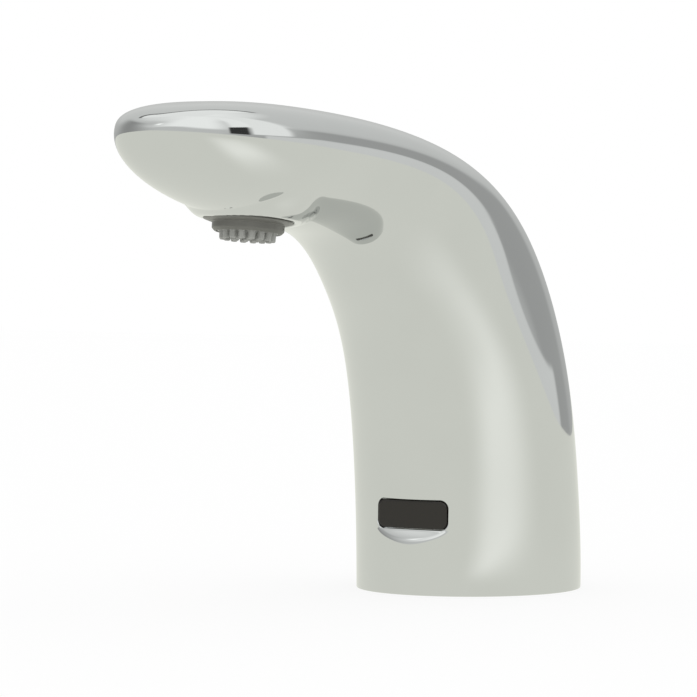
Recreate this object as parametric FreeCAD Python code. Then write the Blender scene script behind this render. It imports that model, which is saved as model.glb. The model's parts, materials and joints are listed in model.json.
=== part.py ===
import FreeCAD, Part
import math
import os

# Sensor tap: a cast spout standing on a deck, with a sensor window at its foot, a solenoid
# valve in its column and an aerator under its head.
# Millimetres. +Z is up, the spout points to -Y, the origin is on the deck under the column.

# spout casting, outside
base_radius = 28.5            # foot on the deck
body_height = 121.5           # deck to the top of the head
spout_reach = 134.7           # column axis to the tip of the nose
foot_rise = 8.3               # height over which the foot stays upright
back_lean = 6.0               # the back comes in this much by lean_height
lean_height = 29.0
waist_lean = 11.0             # and this much by waist_height
waist_height = 58.5
throat_drop = 47.0            # top of the head down to the bend under the neck
throat_reach = 48.7           # column axis to that bend
belly_drop = 29.2             # top of the head down to the underside of the head
belly_reach = 63.6            # column axis to the start of the underside
shoulder_reach = 30.0         # column axis to the start of the flat top
neck_half_width = 24.4
head_half_width = 23.3
nose_half_width = 20.2
nose_drop = 6.9               # top of the head down to the tip
nose_depth = 17.6             # height of the rounded nose
nose_pull = 1.0               # how far past its top and bottom the nose's curve is drawn
back_neck_lean = 23.1         # the back's lean where it passes the throat
back_neck_drop = 28.2         # top of the head down to that place
shoulder_drop = 8.0           # top of the head down to the curve's pole over the shoulder
brow_back = 47.0              # tip of the nose to the highest part of the head
brow_rise = 0.4
front_lean = 2.5              # the front goes in this much, a little above lean_height
front_swell = 3.2             # and out this much, a little above waist_height
front_lean_rise = 2.0
front_swell_rise = 1.5
chin_back = 26.5              # tip of the nose to where its underside starts to rise

# spout casting, inside
wall = 3.0
skin_sides = 36
skin_spans = 34               # sections along the body, closer together in the nose
skin_end = 0.997              # share of the body at which the skin is closed
nose_crowding = 2.6           # the nearer to 2, the closer the last sections
cavity_sides = 20
cavity_start = 0.045          # shares of the body between which it is hollow
cavity_end = 0.74
cavity_spans = 6
mouth_radius = 25.9           # bore at the foot, round the base plate
lug_circle = 20.9             # radius of the circle of the three screw lugs
lug_radius = 4.4
lug_length = 8.0

# water outlet under the head
outlet_reach = 96.0           # column axis to the outlet
outlet_drop = 27.7            # top of the head down to the rim of the outlet
outlet_tilt = 7.0             # degrees that the stream leans forward
collar_radius = 12.5          # rim that stands out of the underside
collar_rise = 1.2             # straight part of the rim
collar_blend = 5.0            # radius of the hollow that blends the rim into the underside
blend_sweep = 70.0            # degrees of that hollow
thread_radius = 10.3          # 13/16 in thread of the aerator, at its crest
aerator_bore_depth = 8.5
chamber_radius = 7.0
chamber_height = 11.5
feed_drop = 16.0              # top of the head down to the axis of the feed
feed_wall = 3.0               # metal between the tube's end and the chamber

# sensor window
window_half_width = 10.4
window_low = 16.3
window_high = 23.8
window_corner = 1.7
window_recess = 2.4           # foot radius less the distance of the window's face from the axis
window_depth = 4.0
window_gap = 0.1
scoop_slope = 0.51            # the hollow under the window comes out this much for its drop
frame_edge = 1.8              # flat frame round the window on the inside
frame_depth = 3.2             # window's face to the flat frame
frame_gap = 0.4               # frame's edge to the edges of what lies against it
gasket_thickness = 0.8
flange_thickness = 1.0
window_front = 2.0            # thickness of the plate in front of the lenses
window_rim = 1.9              # and round them

# base plate and what it holds
gasket_height = 2.0
gasket_width = 6.0
plate_thickness = 6.0
plate_gap = 0.3
screw_clearance = 0.2
plate_screw_radius = 2.0      # M4
bracket_screw_radius = 1.5    # M3
bracket_screw_length = 5.0
bracket_head_radius = 2.6
bracket_head_height = 1.7
bonnet_screw_radius = 1.25    # M2.5
bonnet_screw_grip = 4.0       # how far these screws go into the valve
bonnet_head_radius = 2.2
bonnet_head_height = 1.5
stud_spread = 32.0            # between the two M6 stud holes
stud_hole_radius = 2.5
stud_hole_depth = 5.0
inlet_thread_radius = 4.5     # M10 x 1 at its crest
inlet_thread_length = 8.0
cable_hole_radius = 3.5
cable_circle = 18.2
cable_angle = -56.0
lead_radius = 1.6

# solenoid valve
valve_radius = 13.0
valve_height = 25.0
inlet_bore_radius = 8.1
inlet_bore_depth = 13.0
seat_radius = 5.8
seat_bore_radius = 4.5
annulus_radius = 10.2
annulus_depth = 4.0
gallery_radius = 2.4
gallery_drop = 6.5            # valve's top to the axis of the gallery
plug_length = 2.2
ear_reach = 17.3              # valve axis to the upright port
ear_radius = 4.8
diaphragm_thickness = 1.2
plunger_travel = 2.5
dome_height = 4.6
dome_radius = 10.6
ear_thickness = 2.4
sleeve_radius = 4.8
sleeve_bore_radius = 3.9
sleeve_length = 20.0
running_gap = 0.08
check_spring_radius = 2.6     # springs: radius of the coil, half diagonal of the wire, turns
check_wire = 0.3
check_turns = 2.5
plunger_spring_radius = 1.75
plunger_wire = 0.25
plunger_turns = 4
coil_radius = 8.6
coil_length = 16.0
bobbin_flange = 1.0
yoke_thickness = 1.2

# tube from the valve to the head
tube_radius = 3.5
tube_wall = 0.8
tube_gap = 0.05
tube_low_share = 0.46         # shares of the body at which the tube passes its middle
tube_high_share = 0.6
tube_straight = 22.0          # last straight run, into the head

# aerator
flange_radius = 10.8
flange_edge = 0.3
skirt_radius = 8.6
skirt_bevel = 0.7
skirt_length = 3.1
nozzle_ring = 5.95
nozzle_radius = 0.8
nozzle_length = 1.8
nozzle_count = 16

# flats of the round pieces
round_sides = 48              # large or in view
hidden_sides = 24
screw_sides = 12
blend_steps = 4               # flats over the collar's blend

V = FreeCAD.Vector
UP = V(0, 0, 1)
os.makedirs("parts", exist_ok=True)


def save(name, shape):
    shape.exportStep("parts/" + name + ".step")
    print(name, len(shape.Solids), round(shape.Volume, 1), shape.isValid())


def bore(radius, low, high, x=0.0, y=0.0):
    return Part.makeCylinder(radius, high - low, V(x, y, low))


def cylinder(radius, low, high, x=0.0, y=0.0, sides=hidden_sides):
    """Upright prism with enough sides to pass for round."""
    turn = 2 * math.pi / sides
    corners = [V(x + radius * math.cos(i * turn), y + radius * math.sin(i * turn), low)
               for i in range(sides)]
    return Part.Face(Part.makePolygon(corners + corners[:1])).extrude(V(0, 0, high - low))


def drill(radius, low, high, x=0.0, y=0.0):
    return cylinder(radius, low, high, x, y, screw_sides)


def ring(inner, outer, low, high, x=0.0, y=0.0):
    return cylinder(outer, low, high, x, y).cut(cylinder(inner, low, high, x, y))


def block(low, high):
    return Part.makeBox(high[0] - low[0], high[1] - low[1], high[2] - low[2], V(*low))


def sided(profile, sides=hidden_sides):
    """Solid about Z with flats all round, from its half outline given as (radius, height) corners."""
    turn = 2 * math.pi / sides
    rings = [[V(radius * math.cos(i * turn), radius * math.sin(i * turn), height) for i in range(sides)]
             for radius, height in profile]
    faces = []
    for lower, upper in zip(rings, rings[1:] + rings[:1]):
        for i in range(sides):
            corners = []
            for corner in (lower[i - 1], lower[i], upper[i], upper[i - 1]):
                if all(corner.distanceToPoint(other) > 1e-6 for other in corners):
                    corners.append(corner)
            if len(corners) > 2:
                faces.append(Part.Face(Part.makePolygon(corners + corners[:1])))
    solid = Part.Solid(Part.Shell(faces))
    if solid.Volume < 0:
        solid.reverse()
    return solid.removeSplitter()


def spring(radius, wire, low, high, turns):
    """Helical spring of square wire, one unbroken tube."""
    pitch = (high - low - 2 * wire) / turns
    helix = Part.makeHelix(pitch, pitch * turns, radius)
    corners = [V(radius + wire * math.cos(a), 0, wire * math.sin(a))
               for a in [i * math.pi / 2 for i in range(4)]]
    section = Part.Wire(Part.makePolygon(corners + corners[:1]))
    coil = Part.Wire(helix.Edges).makePipeShell([section], True, True)
    coil.translate(V(0, 0, low + wire))
    print("spring: least gap between turns", round(pitch - 2 * wire, 2))
    return coil


def tube_path(points):
    """Straight runs joined by arcs, each as large as its two runs allow."""
    edges, start = [], points[0]
    for before, corner, after in zip(points, points[1:], points[2:]):
        into, out = (corner - before), (after - corner)
        turn = into.getAngle(out)
        setback = 0.45 * min(into.Length, out.Length)
        first = corner - V(into).normalize() * setback
        last = corner + V(out).normalize() * setback
        radius = setback / math.tan(turn / 2)
        inward = (V(out).normalize() - V(into).normalize()).normalize()
        middle = corner + inward * (radius / math.cos(turn / 2) - radius)
        edges += [Part.LineSegment(start, first).toShape(), Part.Arc(first, middle, last).toShape()]
        start = last
        print("bend radius", round(radius, 1))
    edges.append(Part.LineSegment(start, points[-1]).toShape())
    return Part.Wire(edges)


def pipe(points, radius, sides=8):
    """Many-sided tube along the path through points, which starts upright or along Y."""
    path = tube_path(points)
    along = (points[1] - points[0]).normalize()
    sideways = V(1, 0, 0)
    other = along.cross(sideways)
    corners = [points[0] + sideways * (radius * math.cos(a)) + other * (radius * math.sin(a))
               for a in [i * 2 * math.pi / sides for i in range(sides)]]
    section = Part.makePolygon(corners + corners[:1])
    return path.makePipeShell([section], True, False)


# ---- body lines: cubic curves with evenly spaced knots, from the deck to the tip of the nose
def smooth_line(poles):
    spans = len(poles) - 3
    curve = Part.BSplineCurve()
    curve.buildFromPolesMultsKnots(
        [V(*pole) for pole in poles], [4] + [1] * (spans - 1) + [4],
        [i / spans for i in range(spans + 1)], False, 3)
    return curve


tip_height = body_height - nose_drop
tip = (0, -spout_reach, tip_height)

back_line = smooth_line([
    (0, base_radius, 0),
    (0, base_radius, foot_rise),
    (0, base_radius - back_lean, lean_height),
    (0, base_radius - waist_lean, waist_height),
    (0, base_radius - back_neck_lean, body_height - back_neck_drop),
    (0, -shoulder_reach, body_height - shoulder_drop),
    (0, brow_back - spout_reach, body_height + brow_rise),
    (0, -spout_reach, body_height + nose_pull),
    tip])

front_line = smooth_line([
    (0, -base_radius, 0),
    (0, -base_radius, foot_rise),
    (0, front_lean - base_radius, lean_height + front_lean_rise),
    (0, -front_swell - base_radius, waist_height + front_swell_rise),
    (0, -throat_reach, body_height - throat_drop),
    (0, -belly_reach, body_height - belly_drop),
    (0, chin_back - spout_reach, body_height - belly_drop),
    (0, -spout_reach, body_height + nose_pull - nose_depth),
    tip])

# half width, power of the upper half (2 is round, more is squarer), place of the widest point
shape_line = smooth_line([
    (base_radius, 2.0, 0.50),
    (base_radius, 2.05, 0.50),
    (base_radius + 1.0, 2.15, 0.51),
    (base_radius, 2.35, 0.53),
    (neck_half_width, 2.7, 0.58),
    (head_half_width, 2.95, 0.66),
    (head_half_width, 2.85, 0.70),
    (nose_half_width, 2.7, 0.67),
    (0, 2.6, 0.66)])


def skin_point(u, degrees):
    """Point at share u of the body, turned by degrees round its section from the back."""
    back, front, shape = back_line.value(u), front_line.value(u), shape_line.value(u)
    along, across = math.cos(math.radians(degrees)), math.sin(math.radians(degrees))
    power = shape.y if along > 0 else 2.0
    reach = (abs(along) ** power + abs(across) ** power) ** (-1 / power)
    depth = shape.z + (1 - shape.z if along > 0 else shape.z) * reach * along
    point = front + (back - front) * depth
    point.x = shape.x * reach * across
    return point


def outer_section(u):
    """Closed many-sided section of the skin, with a flat at the middle of the front and back."""
    step = 360 / skin_sides
    corners = [skin_point(u, (i + 0.5) * step) for i in range(skin_sides)]
    return Part.makePolygon(corners + corners[:1])


def inner_section(u):
    """Many-sided oval inside the outer section, one wall in from it."""
    back, front, shape = back_line.value(u), front_line.value(u), shape_line.value(u)
    centre = (back + front) / 2
    upward = (back - front).normalize() * ((back - front).Length / 2 - wall)
    sideways = V(shape.x - 2 * shape.z * wall, 0, 0)
    corners = [centre + upward * math.cos(a) + sideways * math.sin(a)
               for a in [(i + 0.5) * 2 * math.pi / cavity_sides for i in range(cavity_sides)]]
    return Part.makePolygon(corners + corners[:1])


def body_loft(section, shares):
    """Solid through the sections at these shares, straight from each to the next."""
    solid = Part.makeLoft([section(u) for u in shares], True, True)
    if solid.Volume < 0:
        solid.reverse()
    return solid


# ---- spout casting
outlet_height = body_height - outlet_drop
outlet_rotation = FreeCAD.Rotation(V(1, 0, 0), -outlet_tilt)
outlet_place = FreeCAD.Placement(V(0, -outlet_reach, outlet_height), outlet_rotation)


def at_outlet(shape):
    shape.Placement = outlet_place.multiply(shape.Placement)
    return shape


window_y = window_recess - base_radius
frame_y = window_y + frame_depth
flange_back_y = frame_y + gasket_thickness + flange_thickness
plate_top = gasket_height + plate_thickness
feed_height = body_height - feed_drop
feed_end_y = chamber_radius + feed_wall - outlet_reach
lug_angles = [90, 210, 330]


window_middle = (window_low + window_high) / 2
housing_half_width = window_half_width + frame_edge - 0.2
housing_low = window_low - frame_edge - 1.0
housing_high = window_high + frame_edge + 1.0
housing_back_y = -valve_radius - 1.0
housing_wall = 1.2
board_ledge = 2.5             # outside of the housing to the inside of the ledge for the board
board_thickness = 1.2
board_front_y = housing_back_y - housing_wall - 2.0 * board_thickness
lens_radius = 1.5
lens_offset = 4.0
lens_front_y = window_y + window_front + 0.4
shelf_high = housing_low
shelf_low = housing_low - housing_wall
peg_radius = 1.2
peg_y = housing_back_y - 3.0


def around(radius, degrees):
    return radius * math.cos(math.radians(degrees)), radius * math.sin(math.radians(degrees))


def rounded_bar(half_width, low, high, corner, front_y, back_y):
    """Bar along Y with a rounded rectangle for its section."""
    bar = block((-half_width, front_y, low), (half_width, back_y, high))
    lengthwise = [e for e in bar.Edges if abs(e.tangentAt(e.FirstParameter).y) > 0.9]
    return bar.makeFillet(corner, lengthwise)


def outlet_collar():
    """Rim of the outlet with the hollow that blends it into the underside."""
    angles = [math.radians(i * blend_sweep / blend_steps) for i in range(blend_steps + 1)]
    blend = [(collar_radius + collar_blend * (1 - math.cos(a)), collar_rise + collar_blend * math.sin(a))
             for a in angles]
    return at_outlet(sided([(0, 0), (collar_radius, 0)] + blend + [(0, blend[-1][1])], round_sides))


def spout_cavity():
    """Hollow of the column and neck, with the window's flat frame and the screw lugs left in."""
    step = (cavity_end - cavity_start) / cavity_spans
    cavity = body_loft(inner_section, [cavity_start + i * step for i in range(cavity_spans + 1)])
    frame = block((-window_half_width - frame_edge, -base_radius, window_low - frame_edge),
                  (window_half_width + frame_edge, frame_y, window_high + frame_edge))
    pocket = block((-window_half_width - frame_edge - window_gap, frame_y, housing_low - window_gap),
                   (window_half_width + frame_edge + window_gap, 0, housing_high + window_gap))
    kept = [frame]
    for degrees in lug_angles:
        x, y = around(lug_circle, degrees)
        web = block((-lug_radius, 0, plate_top),
                    (lug_radius, base_radius - lug_circle, plate_top + lug_length))
        web.Placement = FreeCAD.Placement(V(x, y, 0), FreeCAD.Rotation(UP, degrees - 90))
        kept += [cylinder(lug_radius, plate_top, plate_top + lug_length, x, y), web]
    mouth = cylinder(mouth_radius, -1, plate_top, 0, 0, round_sides)
    return cavity.cut(kept).fuse([mouth, pocket])


def spout_shell():
    steps = [i / skin_spans for i in range(skin_spans + 1)]
    shares = [skin_end * step * (nose_crowding - step) / (nose_crowding - 1) for step in steps]
    shell = body_loft(outer_section, shares).fuse(outlet_collar())
    shell = shell.cut(spout_cavity())
    tools = [
        at_outlet(cylinder(thread_radius, -5, aerator_bore_depth, 0, 0, round_sides)),
        at_outlet(cylinder(chamber_radius, 0, aerator_bore_depth + chamber_height)),
        at_outlet(cylinder(collar_radius + 1, -20, 0)),
        Part.makeCylinder(tube_radius + tube_gap, 30, V(0, feed_end_y + 30, feed_height), V(0, -1, 0)),
        Part.makeCylinder(tube_radius - tube_wall, 2 * feed_wall, V(0, feed_end_y, feed_height), V(0, -1, 0)),
        rounded_bar(window_half_width, window_low, window_high, window_corner, -base_radius - 5, frame_y + 1)]
    outer_y = -base_radius - 2.0
    outer_drop = (window_y - outer_y) / scoop_slope
    profile = [V(0, window_y, window_low + 2), V(0, window_y, window_low),
               V(0, outer_y, window_low - outer_drop), V(0, outer_y, window_low + 2)]
    scoop = Part.Face(Part.makePolygon(profile + profile[:1])).extrude(V(2 * base_radius, 0, 0))
    scoop.translate(V(-base_radius, 0, 0))
    tools.append(scoop)
    for degrees in lug_angles:
        x, y = around(lug_circle, degrees)
        tools.append(drill(plate_screw_radius, plate_top - 1, plate_top + lug_length - 1.5, x, y))
    return shell.cut(tools)


save("spout_shell", spout_shell())


# ---- sensor behind the window
def sensor_window():
    """Dark plate: a block that fills the aperture and a flange behind it, hollow for the lenses."""
    plate = rounded_bar(window_half_width - window_gap, window_low + window_gap, window_high - window_gap,
                        window_corner - window_gap, window_y, flange_back_y - flange_thickness)
    edge = frame_edge - frame_gap
    flange = block((-window_half_width - edge, flange_back_y - flange_thickness, window_low - edge),
                   (window_half_width + edge, flange_back_y, window_high + edge))
    hollow = block((-window_half_width + window_rim, window_y + window_front, window_low + window_rim),
                   (window_half_width - window_rim, flange_back_y, window_high - window_rim))
    return plate.fuse(flange).cut(hollow).removeSplitter()


def sensor_gasket():
    edge = frame_edge - frame_gap
    pad = block((-window_half_width - edge, frame_y, window_low - edge),
                (window_half_width + edge, frame_y + gasket_thickness, window_high + edge))
    return pad.cut(block((-window_half_width, frame_y, window_low),
                         (window_half_width, frame_y + gasket_thickness, window_high)))


def sensor_housing():
    """Box open towards the window, with a ledge for the board and two pegs underneath."""
    box = block((-housing_half_width, flange_back_y, housing_low),
                (housing_half_width, housing_back_y, housing_high))
    front = block((-housing_half_width + housing_wall, flange_back_y, housing_low + housing_wall),
                  (housing_half_width - housing_wall, board_front_y + board_thickness,
                   housing_high - housing_wall))
    back = block((-housing_half_width + board_ledge, board_front_y, housing_low + board_ledge),
                 (housing_half_width - board_ledge, housing_back_y - housing_wall, housing_high - board_ledge))
    box = box.cut([front, back])
    pegs = [drill(peg_radius, shelf_low, housing_low, side * lens_offset, peg_y) for side in (-1, 1)]
    return box.fuse(pegs)


def sensor_board():
    edge = housing_wall + 0.2
    return block((-housing_half_width + edge, board_front_y, housing_low + edge),
                 (housing_half_width - edge, board_front_y + board_thickness, housing_high - edge))


def lens(side):
    """Blunt-nosed optical element that stands forward from the board."""
    length = board_front_y - lens_front_y
    nose = 0.4 * lens_radius
    element = sided([(0, 0), (lens_radius, 0), (lens_radius, length - 2 * nose), (nose, length), (0, length)])
    element.rotate(V(0, 0, 0), V(1, 0, 0), 90)
    element.translate(V(side * lens_offset, board_front_y, window_middle))
    return element


bracket_half_width = 5.6
bracket_sheet = 1.2
bracket_front_y = housing_back_y - 7.5
bracket_screw_y = housing_back_y - 4.2


def sensor_bracket():
    """Folded strip: a foot on the base plate, an upright and a shelf under the sensor."""
    sides = [
        block((-bracket_half_width, bracket_front_y, plate_top),
              (bracket_half_width, housing_back_y, plate_top + bracket_sheet)),
        block((-bracket_half_width, housing_back_y - bracket_sheet, plate_top),
              (bracket_half_width, housing_back_y, shelf_high)),
        block((-bracket_half_width, bracket_front_y, shelf_low), (bracket_half_width, housing_back_y, shelf_high))]
    strip = sides[0].fuse(sides[1:]).removeSplitter()
    holes = [drill(peg_radius + tube_gap, shelf_low - 1, shelf_high + 1, side * lens_offset, peg_y)
             for side in (-1, 1)]
    holes.append(drill(bracket_screw_radius + tube_gap, plate_top - 1, plate_top + 2, 0, bracket_screw_y))
    return strip.cut(holes)


def screw(radius, length, head_radius, head_height):
    """Hexagon-headed screw with its head on z = 0 and its shank below."""
    head = cylinder(head_radius, 0, head_height, 0, 0, 6)
    return head.fuse(drill(radius, -length, 0)).removeSplitter()


def bracket_screw():
    one = screw(bracket_screw_radius - tube_gap, bracket_screw_length, bracket_head_radius, bracket_head_height)
    return placed(one, 0, bracket_screw_y, plate_top + bracket_sheet)


def placed(shape, x, y, z, down=False):
    copy = shape.copy()
    if down:
        copy.rotate(V(0, 0, 0), V(1, 0, 0), 180)
    copy.translate(V(x, y, z))
    return copy


# ---- base plate, gasket and water inlet
fitting_flange_radius = inlet_bore_radius + 2.4
recess_depth = 3.0
filter_hole_radius = 1.1
cable_x, cable_y = around(cable_circle, cable_angle)


def base_plate():
    plate = cylinder(mouth_radius - plate_gap, gasket_height, plate_top, 0, 0, round_sides)
    tools = [
        cylinder(inlet_bore_radius, gasket_height - 1, plate_top + 1),
        cylinder(fitting_flange_radius + 0.2, gasket_height - 1, gasket_height + recess_depth),
        cylinder(cable_hole_radius, gasket_height - 1, plate_top + 1, cable_x, cable_y),
        drill(bracket_screw_radius, plate_top - 4.5, plate_top + 1, 0, bracket_screw_y)]
    for side in (-1, 1):
        tools.append(bore(stud_hole_radius, gasket_height - 1, gasket_height + stud_hole_depth,
                          side * stud_spread / 2, 0))
    for degrees in lug_angles:
        x, y = around(lug_circle, degrees)
        tools.append(drill(plate_screw_radius + screw_clearance, gasket_height - 1, plate_top + 1, x, y))
        tools.append(drill(2 * plate_screw_radius, gasket_height - 1, gasket_height + recess_depth, x, y))
    return plate.cut(tools)


def base_gasket():
    outer = cylinder(mouth_radius - plate_gap, 0, gasket_height, 0, 0, round_sides)
    return outer.cut(cylinder(mouth_radius - plate_gap - gasket_width, 0, gasket_height, 0, 0, round_sides))


def plate_screws():
    one = screw(plate_screw_radius - tube_gap, plate_thickness - recess_depth + lug_length - 2.5,
                2 * plate_screw_radius - 0.3, recess_depth - 0.4)
    spots = [around(lug_circle, degrees) for degrees in lug_angles]
    return Part.makeCompound([placed(one, x, y, gasket_height + recess_depth, True) for x, y in spots])


valve_low = plate_top
valve_top = valve_low + valve_height
fitting_top = valve_low + 4.0
filter_top = fitting_top + 1.6
check_low = filter_top + 0.4


def inlet_fitting():
    """Threaded bush that clamps the valve to the base plate and takes the hose from below."""
    bush = sided([
        (0, gasket_height), (fitting_flange_radius, gasket_height),
        (fitting_flange_radius, gasket_height + recess_depth),
        (inlet_bore_radius - tube_gap, gasket_height + recess_depth), (inlet_bore_radius - tube_gap, fitting_top),
        (0, fitting_top)])
    thread_top = gasket_height + inlet_thread_length
    return bush.cut([bore(inlet_thread_radius, gasket_height - 1, thread_top),
                     cylinder(inlet_thread_radius - 1.2, thread_top - 1, fitting_top + 1)])


def inlet_filter():
    """Perforated disc with a rim."""
    radius = inlet_bore_radius - 0.2
    disc = cylinder(radius, fitting_top, filter_top).cut(
        cylinder(radius - 1.2, fitting_top + 0.5, filter_top + 1))
    rings = ((0, 1), (3.2, 6), (5.6, 8))     # radius of each ring of holes, and its number of holes
    holes = [cylinder(filter_hole_radius, fitting_top - 1, filter_top, *around(circle, i * 360 / count), 6)
             for circle, count in rings for i in range(count)]
    return disc.cut(holes)


def cable_grommet():
    edge = 0.8
    hole = lead_radius + tube_gap
    sleeve = ring(hole, cable_hole_radius - tube_gap, gasket_height, plate_top, cable_x, cable_y)
    lip = ring(hole, cable_hole_radius + edge, plate_top, plate_top + edge, cable_x, cable_y)
    return sleeve.fuse(lip).removeSplitter()


def sensor_lead():
    return cylinder(lead_radius, gasket_height, housing_low, cable_x, cable_y)


# ---- solenoid valve
check_top = valve_low + inlet_bore_depth
chamber_top = check_top + 1.8
outlet_floor = valve_top - gallery_drop - gallery_radius
screw_circle = valve_radius + 0.4
screw_angles = [45, 135, 225, 315]
ear_low = valve_top - gallery_drop - gallery_radius - 2.6


def screw_ears(low, high):
    return [drill(2.8, low, high, *around(screw_circle, degrees)) for degrees in screw_angles]


def across(shape, x, z):
    """Upright shape laid along -X from this place."""
    shape.rotate(V(0, 0, 0), V(0, 1, 0), -90)
    shape.translate(V(x, 0, z))
    return shape


def valve_body():
    body = cylinder(valve_radius, valve_low, valve_top).fuse(screw_ears(valve_top - 6, valve_top))
    port = cylinder(ear_radius, ear_low, valve_top, -ear_reach, 0)
    web = block((-ear_reach, -ear_radius, ear_low), (0, ear_radius, valve_top))
    body = body.fuse([port, web]).removeSplitter()
    gallery_z = valve_top - gallery_drop
    tools = [
        cylinder(inlet_bore_radius, valve_low - 1, check_top),
        cylinder(annulus_radius - 0.4, check_top, chamber_top),
        cylinder(seat_bore_radius, outlet_floor, valve_top + 1),
        ring(seat_radius, annulus_radius, valve_top - annulus_depth, valve_top + 1),
        across(drill(gallery_radius, 0, ear_reach + ear_radius + 1), 0, gallery_z),
        cylinder(tube_radius + tube_gap, gallery_z, valve_top + 1, -ear_reach, 0)]
    for degrees in (-110, -45, 45, 110):
        tools.append(drill(1.7, chamber_top - 0.5, valve_top - annulus_depth + 0.5,
                           *around((seat_radius + annulus_radius) / 2, degrees)))
    for degrees in screw_angles:
        tools.append(drill(bonnet_screw_radius, valve_top - 5, valve_top + 1, *around(screw_circle, degrees)))
    return body.cut(tools)


def gallery_plug():
    return across(drill(gallery_radius - tube_gap, 0, plug_length),
                  plug_length - ear_reach - ear_radius, valve_top - gallery_drop)


def check_housing():
    """Cage that holds the check valve: a seat at the bottom and a spider at the top."""
    outer, inner, web = inlet_bore_radius - 0.2, 6.4, 1.0
    cage = ring(inner, outer, check_low, check_top)
    seat = ring(3.6, inner + 0.5, check_low, check_low + web)
    hub = ring(1.5, 2.7, check_top - web, check_top)
    arm = block((2.0, -0.8, check_top - web), (inner + 0.5, 0.8, check_top))
    arms = []
    for i in range(3):
        turned_arm = arm.copy()
        turned_arm.rotate(V(0, 0, 0), UP, 120 * i)
        arms.append(turned_arm)
    return cage.fuse([seat, hub] + arms).removeSplitter()


def check_poppet():
    low = check_low + 1.0
    return sided([(0, low - 0.8), (3.2, low - 0.6), (3.4, low + 0.05), (5.0, low + 0.05), (5.0, low + 1.2),
                   (1.42, low + 1.6), (1.42, check_top - 0.2), (0, check_top - 0.2)])


def check_spring():
    """From the poppet's shoulder to the spider."""
    return spring(check_spring_radius, check_wire, check_low + 2.65, check_top - 1.05, check_turns)


diaphragm_top = valve_top + diaphragm_thickness
insert_neck = 3.2
insert_top = diaphragm_top + 1.4


def diaphragm():
    """Rubber disc with a thin web between its rim and its centre."""
    web = 0.5 * diaphragm_thickness
    return sided([
        (insert_neck, valve_top), (valve_radius - 1.6, valve_top), (valve_radius - 1.6, diaphragm_top),
        (annulus_radius - 0.6, diaphragm_top), (annulus_radius - 0.6, valve_top + web),
        (seat_radius + 1.2, valve_top + web), (seat_radius + 1.2, diaphragm_top), (insert_neck, diaphragm_top)])


def diaphragm_insert():
    """Stiff centre of the diaphragm, guided in the seat's bore, with the pilot hole through it."""
    guide = seat_bore_radius - running_gap
    neck = insert_neck - tube_gap
    return sided([
        (0.7, valve_top - 3.0), (guide - 0.5, valve_top - 3.0), (guide, valve_top - 2.5), (guide, valve_top),
        (neck, valve_top), (neck, diaphragm_top), (6.4, diaphragm_top), (6.4, insert_top - 0.4),
        (1.6, insert_top - 0.4), (1.3, insert_top), (0.7, insert_top)])


bonnet_top = diaphragm_top + dome_height
sleeve_top = bonnet_top + sleeve_length


def valve_bonnet():
    """Cover of the valve: a dome over the diaphragm and a closed sleeve for the plunger."""
    flange = cylinder(valve_radius, diaphragm_top, diaphragm_top + ear_thickness)
    cover = flange.fuse([cylinder(dome_radius, diaphragm_top, bonnet_top)]
                        + screw_ears(diaphragm_top, diaphragm_top + ear_thickness))
    sleeve = cylinder(sleeve_radius, bonnet_top, sleeve_top)
    cover = cover.fuse(sleeve).removeSplitter()
    tools = [cylinder(dome_radius - 1.2, diaphragm_top, bonnet_top - 1.2),
             cylinder(sleeve_bore_radius, diaphragm_top, sleeve_top - 1.2)]
    for degrees in screw_angles:
        tools.append(drill(bonnet_screw_radius + 0.1, diaphragm_top - 1, diaphragm_top + 4,
                           *around(screw_circle, degrees)))
    return cover.cut(tools)


def bonnet_screws():
    one = screw(bonnet_screw_radius - tube_gap, ear_thickness + diaphragm_thickness + bonnet_screw_grip,
                bonnet_head_radius, bonnet_head_height)
    spots = [around(screw_circle, degrees) for degrees in screw_angles]
    return Part.makeCompound([placed(one, x, y, diaphragm_top + ear_thickness) for x, y in spots])


plunger_low = insert_top + 0.8
core_low = sleeve_top - 1.2 - 5.0
plunger_top = core_low - plunger_travel - 0.4
plunger_radius = sleeve_bore_radius - running_gap
seal_radius = 1.9
spring_hole_radius = 2.2
spring_hole_depth = 5.0


def plunger():
    rod = cylinder(plunger_radius, plunger_low, plunger_top)
    tip = cylinder(seal_radius, plunger_low - 1, plunger_low + 1.2)
    hole = cylinder(spring_hole_radius, plunger_top - spring_hole_depth, plunger_top + 1)
    groove = block((plunger_radius - 0.6, -0.6, plunger_low - 1), (plunger_radius + 1, 0.6, plunger_top + 1))
    opposite = groove.copy()
    opposite.rotate(V(0, 0, 0), UP, 180)
    return rod.cut([tip, hole, groove, opposite])


def plunger_seal():
    return cylinder(seal_radius, insert_top + 0.02, plunger_low + 1.2)


def plunger_spring():
    return spring(plunger_spring_radius, plunger_wire, plunger_top - spring_hole_depth, core_low, plunger_turns)


def fixed_core():
    return cylinder(plunger_radius, core_low, sleeve_top - 1.2)


coil_low = bonnet_top + yoke_thickness
coil_high = coil_low + coil_length
bobbin_core = sleeve_radius + 0.9
bobbin_radius = coil_radius + 0.5


def coil_bobbin():
    gap = sleeve_radius + 0.1
    core = ring(gap, bobbin_core, coil_low, coil_high)
    flanges = [ring(gap, bobbin_radius, coil_low, coil_low + bobbin_flange),
               ring(gap, bobbin_radius, coil_high - bobbin_flange, coil_high)]
    return core.fuse(flanges).removeSplitter()


def coil_winding():
    return ring(bobbin_core, coil_radius, coil_low + bobbin_flange, coil_high - bobbin_flange)


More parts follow.
